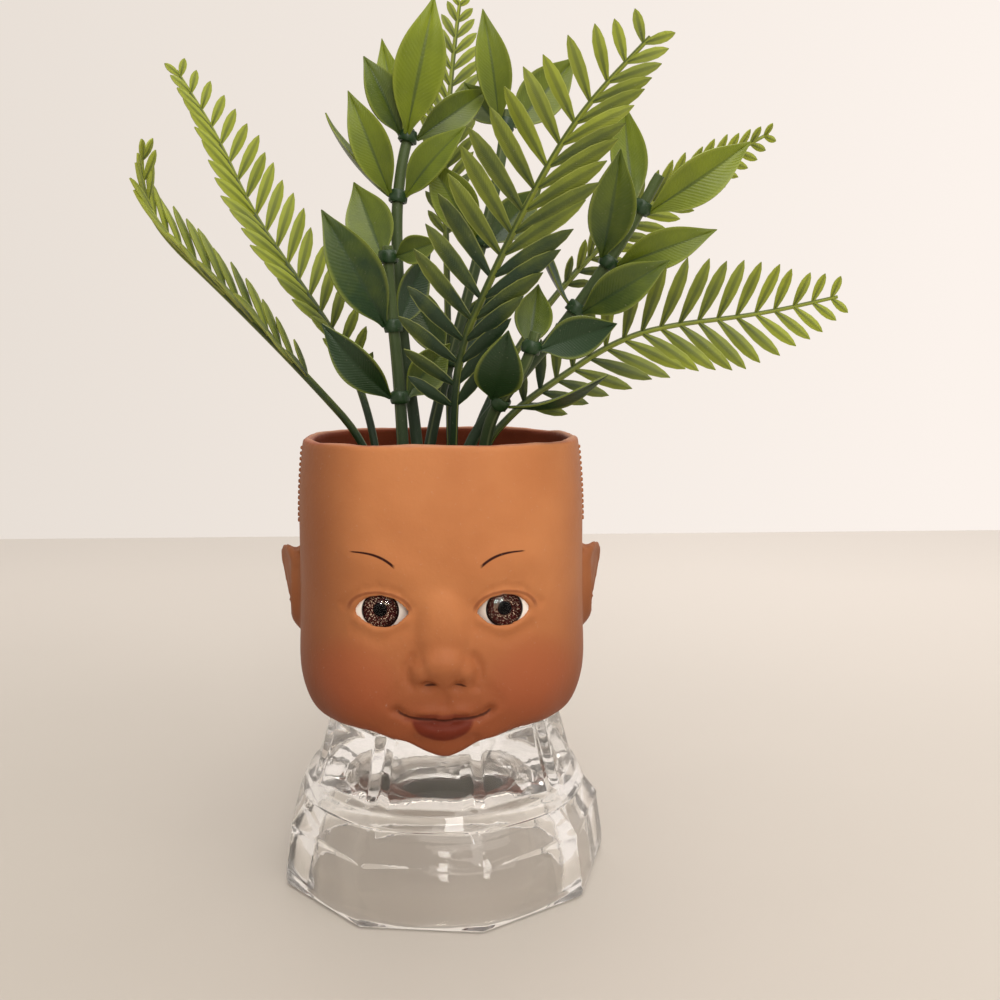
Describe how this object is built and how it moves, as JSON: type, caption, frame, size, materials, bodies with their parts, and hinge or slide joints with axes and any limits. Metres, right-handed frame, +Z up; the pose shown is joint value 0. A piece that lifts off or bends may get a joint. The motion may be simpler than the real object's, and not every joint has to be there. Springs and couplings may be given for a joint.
{
  "type": "head planter",
  "caption": "Doll-head planter: open vinyl head on an upturned pressed-glass bowl, filled with plastic ferns and leaf sprigs.",
  "frame": {"origin": "on the table, at the middle of the glass stand's rim", "axes": "+Z up, the face looks towards -Y, +X to the viewer's right when facing it"},
  "size_m": [0.2249, 0.1041, 0.2867],
  "materials": {
    "pressed_glass": "clear, fire-polished, slightly grey-green in the thick parts",
    "vinyl_skin": "soft matte vinyl, warm brown with redder cheeks",
    "eye_white": "glossy",
    "eye_iris": "dark brown with fine gold flecks",
    "eye_lens": "clear acrylic dome",
    "dry_foam": "dry, open-pored flower foam",
    "fern_plastic": "satin moulded plastic, dark at the foot and yellow-green at the tips",
    "leaf_plastic": "satin moulded plastic with a raised midrib",
    "stem_plastic": "satin moulded plastic"
  },
  "bodies": {
    "stand": {"glass_stand": "pressed_glass"},
    "head": {"head_shell": "vinyl_skin", "left_eye_iris": "eye_iris", "left_eye_lens": "eye_lens", "left_eye_white": "eye_white", "right_eye_iris": "eye_iris", "right_eye_lens": "eye_lens", "right_eye_white": "eye_white"},
    "planting": {"fern_back": "fern_plastic", "fern_far_left": "fern_plastic", "fern_front": "fern_plastic", "fern_left": "fern_plastic", "fern_right": "fern_plastic", "fern_top": "fern_plastic", "foam_block": "dry_foam", "sprig_centre_leaves_1": "leaf_plastic", "sprig_centre_leaves_2": "leaf_plastic", "sprig_centre_leaves_3": "leaf_plastic", "sprig_centre_left_leaves_1": "leaf_plastic", "sprig_centre_left_leaves_2": "leaf_plastic", "sprig_centre_left_stem": "stem_plastic", "sprig_centre_stem": "stem_plastic", "sprig_left_leaves_1": "leaf_plastic", "sprig_left_leaves_2": "leaf_plastic", "sprig_left_leaves_3": "leaf_plastic", "sprig_left_stem": "stem_plastic", "sprig_low_right_leaves_1": "leaf_plastic", "sprig_low_right_leaves_2": "leaf_plastic", "sprig_low_right_stem": "stem_plastic", "sprig_right_leaves_1": "leaf_plastic", "sprig_right_leaves_2": "leaf_plastic", "sprig_right_leaves_3": "leaf_plastic", "sprig_right_stem": "stem_plastic"}
  },
  "joints": [
    {"name": "head_lift", "type": "slide", "parent": "stand", "child": "head", "axis": [0, 0, 1], "range_m": [0, 0.04]},
    {"name": "planting_lift", "type": "slide", "parent": "head", "child": "planting", "axis": [0, 0, 1], "range_m": [0, 0.09]}
  ]
}
